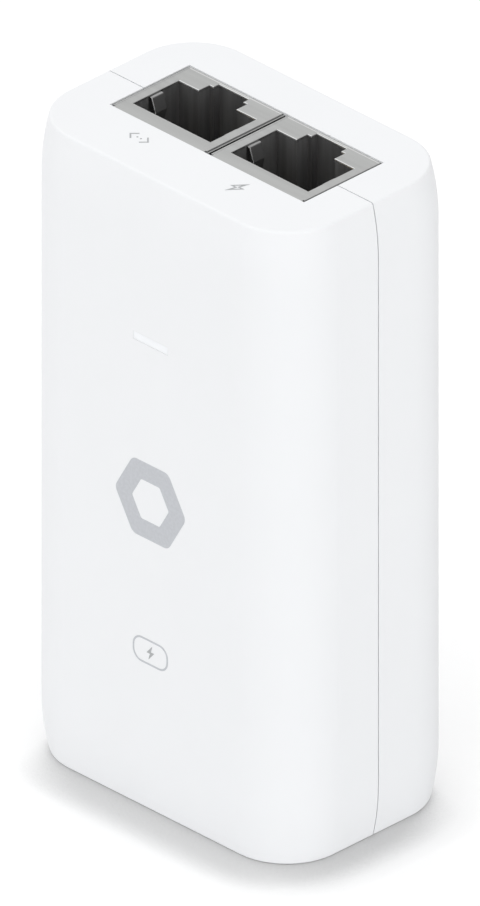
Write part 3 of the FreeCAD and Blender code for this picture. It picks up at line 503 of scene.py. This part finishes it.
def floor_material():
    """Pale matte floor with a painted shadow, greyer close to the object on its shadow side."""
    material = new_material("floor", FLOOR_COLOR, 0.5)
    nodes = material.node_tree.nodes
    links = material.node_tree.links
    towards = nodes.new("ShaderNodeNormal")
    towards.outputs["Normal"].default_value = direction_to(SHADOW_AZIMUTH, SHADOW_ELEVATION)
    nearby = nodes.new("ShaderNodeAmbientOcclusion")
    nearby.samples = SHADOW_SAMPLES
    nearby.inputs["Distance"].default_value = SHADOW_REACH
    links.new(towards.outputs["Normal"], nearby.inputs["Normal"])
    ramp = nodes.new("ShaderNodeValToRGB")
    stops = ramp.color_ramp.elements
    for index, (openness, grey) in enumerate(FLOOR_PAINTED_SHADOW):
        stop = stops[index] if index < 2 else stops.new(openness)
        stop.position = openness
        stop.color = (grey, grey, grey, 1.0)
    links.new(nearby.outputs["AO"], ramp.inputs["Fac"])
    # Only the camera sees the painted shadow; light bouncing off the floor takes the even floor
    # colour.
    seen = nodes.new("ShaderNodeLightPath").outputs["Is Camera Ray"]
    color = mix_color(material, seen, FLOOR_COLOR, ramp.outputs["Color"])
    links.new(color, nodes["Principled BSDF"].inputs["Base Color"])
    return material


def add_floor():
    """Pale studio floor just under the object."""
    bpy.ops.mesh.primitive_plane_add(size=FLOOR_SIZE, location=(0, 0, -FLOOR_DROP))
    floor = bpy.context.object
    floor.name = "floor"
    floor.data.materials.append(floor_material())


def direction_to(azimuth, elevation):
    """Unit vector from the object towards a place in the studio; azimuth 0 is the front."""
    turn = math.radians(azimuth)
    rise = math.radians(elevation)
    flat = math.cos(rise)
    return Vector((math.sin(turn) * flat, -math.cos(turn) * flat, math.sin(rise)))


def add_sun(name, azimuth, elevation, strength, spread):
    """Distant soft light, spread in degrees."""
    light = bpy.data.lights.new(name, "SUN")
    light.energy = strength
    light.angle = math.radians(spread)
    lamp = bpy.data.objects.new(name, light)
    bpy.context.scene.collection.objects.link(lamp)
    lamp.rotation_mode = "QUATERNION"
    lamp.rotation_quaternion = direction_to(azimuth, elevation).to_track_quat("Z", "Y")


def add_world():
    """White surroundings, brighter overhead and dark in one direction behind the object."""
    world = bpy.data.worlds.new("studio")
    world.use_nodes = True
    nodes = world.node_tree.nodes
    links = world.node_tree.links
    place = nodes.new("ShaderNodeTexCoord")
    split = nodes.new("ShaderNodeSeparateXYZ")
    height = nodes.new("ShaderNodeMapRange")
    height.inputs["To Min"].default_value = SKY_LOW
    height.inputs["To Max"].default_value = SKY_HIGH
    facing = nodes.new("ShaderNodeVectorMath")
    facing.operation = "DOT_PRODUCT"
    facing.inputs[1].default_value = direction_to(DARK_AZIMUTH, 0)
    dark = nodes.new("ShaderNodeMapRange")
    dark.interpolation_type = "SMOOTHSTEP"
    dark.inputs["From Min"].default_value = DARK_EDGE
    dark.inputs["To Min"].default_value = 1.0
    dark.inputs["To Max"].default_value = 0.0
    strength = nodes.new("ShaderNodeMath")
    strength.operation = "MULTIPLY"
    links.new(place.outputs["Generated"], split.inputs["Vector"])
    links.new(split.outputs["Z"], height.inputs["Value"])
    links.new(place.outputs["Generated"], facing.inputs[0])
    links.new(facing.outputs["Value"], dark.inputs["Value"])
    links.new(height.outputs["Result"], strength.inputs[0])
    links.new(dark.outputs["Result"], strength.inputs[1])
    links.new(strength.outputs["Value"], nodes["Background"].inputs["Strength"])
    nodes["Background"].inputs["Color"].default_value = (1.0, 1.0, 1.0, 1.0)
    bpy.context.scene.world = world


def add_camera(target):
    """Orthographic camera that looks at the target."""
    data = bpy.data.cameras.new("camera")
    data.type = "ORTHO"
    data.ortho_scale = PICTURE_HEIGHT
    data.clip_start = 0.01
    data.clip_end = 10.0
    camera = bpy.data.objects.new("camera", data)
    bpy.context.scene.collection.objects.link(camera)
    towards = direction_to(CAMERA_AZIMUTH, CAMERA_ELEVATION)
    camera.location = target + towards * CAMERA_DISTANCE
    camera.rotation_euler = towards.to_track_quat("Z", "Y").to_euler()
    bpy.context.scene.camera = camera


def add_studio():
    """Floor, lights, surroundings and camera."""
    low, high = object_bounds()
    add_floor()
    add_world()
    add_sun("side_light", SIDE_AZIMUTH, SIDE_ELEVATION, SIDE_STRENGTH, SIDE_SPREAD)
    add_camera((Vector(low) + Vector(high)) / 2)
    bpy.context.scene.view_settings.view_transform = "Standard"


dress_cad_nodes(make_materials())
print_marks()
add_studio()
